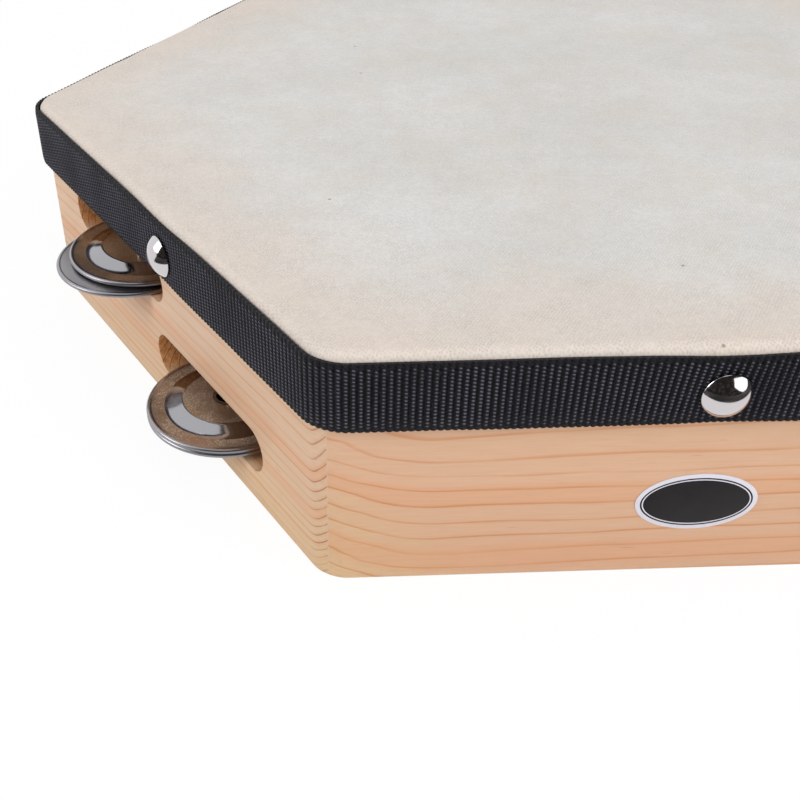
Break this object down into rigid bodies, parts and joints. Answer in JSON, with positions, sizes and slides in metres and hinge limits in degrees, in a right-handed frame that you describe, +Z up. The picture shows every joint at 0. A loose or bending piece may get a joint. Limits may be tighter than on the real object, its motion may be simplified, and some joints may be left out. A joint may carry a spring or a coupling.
{
  "type": "tambourine",
  "caption": "Hexagonal wooden tambourine with a hide head held by a webbing strap and dome tacks, and pairs of loose jingles on pins in slots through the boards.",
  "frame": {"origin": "middle of the whole object's footprint on the plane of the frame's bottom edge; the hexagon's centre lies 5.2 mm in front of it", "axes": "+Z up through the head, -Y out of the plain grip board, +X along that board to the right as seen from in front"},
  "size_m": [0.2918, 0.2712, 0.0548],
  "materials": {
    "pine": "satin",
    "hide": "matte",
    "webbing": "matte",
    "chrome": "polished",
    "jingle_steel": "polished",
    "steel_pin": "satin",
    "label_print": "satin"
  },
  "bodies": {
    "frame": {"front_board": "pine", "front_tack": "chrome", "front_right_board": "pine", "front_right_tack": "chrome", "front_right_low_pin": "steel_pin", "front_right_high_pin": "steel_pin", "back_right_board": "pine", "back_right_tack": "chrome", "back_right_low_pin": "steel_pin", "back_right_high_pin": "steel_pin", "back_board": "pine", "back_tack": "chrome", "back_low_pin": "steel_pin", "back_high_pin": "steel_pin", "back_left_board": "pine", "back_left_tack": "chrome", "back_left_low_pin": "steel_pin", "back_left_high_pin": "steel_pin", "front_left_board": "pine", "front_left_tack": "chrome", "front_left_low_pin": "steel_pin", "front_left_high_pin": "steel_pin", "drum_hide": "hide", "webbing_strap": "webbing", "blank_label": "label_print"},
    "front_right_low_lower_jingle": {"front_right_low_lower_jingle": "jingle_steel"},
    "front_right_low_upper_jingle": {"front_right_low_upper_jingle": "jingle_steel"},
    "front_right_high_lower_jingle": {"front_right_high_lower_jingle": "jingle_steel"},
    "front_right_high_upper_jingle": {"front_right_high_upper_jingle": "jingle_steel"},
    "back_right_low_lower_jingle": {"back_right_low_lower_jingle": "jingle_steel"},
    "back_right_low_upper_jingle": {"back_right_low_upper_jingle": "jingle_steel"},
    "back_right_high_lower_jingle": {"back_right_high_lower_jingle": "jingle_steel"},
    "back_right_high_upper_jingle": {"back_right_high_upper_jingle": "jingle_steel"},
    "back_low_lower_jingle": {"back_low_lower_jingle": "jingle_steel"},
    "back_low_upper_jingle": {"back_low_upper_jingle": "jingle_steel"},
    "back_high_lower_jingle": {"back_high_lower_jingle": "jingle_steel"},
    "back_high_upper_jingle": {"back_high_upper_jingle": "jingle_steel"},
    "back_left_low_lower_jingle": {"back_left_low_lower_jingle": "jingle_steel"},
    "back_left_low_upper_jingle": {"back_left_low_upper_jingle": "jingle_steel"},
    "back_left_high_lower_jingle": {"back_left_high_lower_jingle": "jingle_steel"},
    "back_left_high_upper_jingle": {"back_left_high_upper_jingle": "jingle_steel"},
    "front_left_low_lower_jingle": {"front_left_low_lower_jingle": "jingle_steel"},
    "front_left_low_upper_jingle": {"front_left_low_upper_jingle": "jingle_steel"},
    "front_left_high_lower_jingle": {"front_left_high_lower_jingle": "jingle_steel"},
    "front_left_high_upper_jingle": {"front_left_high_upper_jingle": "jingle_steel"}
  },
  "joints": [
    {"name": "front_right_low_lower_rattle", "type": "slide", "parent": "frame", "child": "front_right_low_lower_jingle", "axis": [0, 0, 1], "range_m": [0, 0.003]},
    {"name": "front_right_low_upper_rattle", "type": "slide", "parent": "front_right_low_lower_jingle", "child": "front_right_low_upper_jingle", "axis": [0, 0, 1], "range_m": [0, 0.003]},
    {"name": "front_right_high_lower_rattle", "type": "slide", "parent": "frame", "child": "front_right_high_lower_jingle", "axis": [0, 0, 1], "range_m": [0, 0.003]},
    {"name": "front_right_high_upper_rattle", "type": "slide", "parent": "front_right_high_lower_jingle", "child": "front_right_high_upper_jingle", "axis": [0, 0, 1], "range_m": [0, 0.003]},
    {"name": "back_right_low_lower_rattle", "type": "slide", "parent": "frame", "child": "back_right_low_lower_jingle", "axis": [0, 0, 1], "range_m": [0, 0.003]},
    {"name": "back_right_low_upper_rattle", "type": "slide", "parent": "back_right_low_lower_jingle", "child": "back_right_low_upper_jingle", "axis": [0, 0, 1], "range_m": [0, 0.003]},
    {"name": "back_right_high_lower_rattle", "type": "slide", "parent": "frame", "child": "back_right_high_lower_jingle", "axis": [0, 0, 1], "range_m": [0, 0.003]},
    {"name": "back_right_high_upper_rattle", "type": "slide", "parent": "back_right_high_lower_jingle", "child": "back_right_high_upper_jingle", "axis": [0, 0, 1], "range_m": [0, 0.003]},
    {"name": "back_low_lower_rattle", "type": "slide", "parent": "frame", "child": "back_low_lower_jingle", "axis": [0, 0, 1], "range_m": [0, 0.003]},
    {"name": "back_low_upper_rattle", "type": "slide", "parent": "back_low_lower_jingle", "child": "back_low_upper_jingle", "axis": [0, 0, 1], "range_m": [0, 0.003]},
    {"name": "back_high_lower_rattle", "type": "slide", "parent": "frame", "child": "back_high_lower_jingle", "axis": [0, 0, 1], "range_m": [0, 0.003]},
    {"name": "back_high_upper_rattle", "type": "slide", "parent": "back_high_lower_jingle", "child": "back_high_upper_jingle", "axis": [0, 0, 1], "range_m": [0, 0.003]},
    {"name": "back_left_low_lower_rattle", "type": "slide", "parent": "frame", "child": "back_left_low_lower_jingle", "axis": [0, 0, 1], "range_m": [0, 0.003]},
    {"name": "back_left_low_upper_rattle", "type": "slide", "parent": "back_left_low_lower_jingle", "child": "back_left_low_upper_jingle", "axis": [0, 0, 1], "range_m": [0, 0.003]},
    {"name": "back_left_high_lower_rattle", "type": "slide", "parent": "frame", "child": "back_left_high_lower_jingle", "axis": [0, 0, 1], "range_m": [0, 0.003]},
    {"name": "back_left_high_upper_rattle", "type": "slide", "parent": "back_left_high_lower_jingle", "child": "back_left_high_upper_jingle", "axis": [0, 0, 1], "range_m": [0, 0.003]},
    {"name": "front_left_low_lower_rattle", "type": "slide", "parent": "frame", "child": "front_left_low_lower_jingle", "axis": [0, 0, 1], "range_m": [0, 0.003]},
    {"name": "front_left_low_upper_rattle", "type": "slide", "parent": "front_left_low_lower_jingle", "child": "front_left_low_upper_jingle", "axis": [0, 0, 1], "range_m": [0, 0.003]},
    {"name": "front_left_high_lower_rattle", "type": "slide", "parent": "frame", "child": "front_left_high_lower_jingle", "axis": [0, 0, 1], "range_m": [0, 0.003]},
    {"name": "front_left_high_upper_rattle", "type": "slide", "parent": "front_left_high_lower_jingle", "child": "front_left_high_upper_jingle", "axis": [0, 0, 1], "range_m": [0, 0.003]}
  ]
}
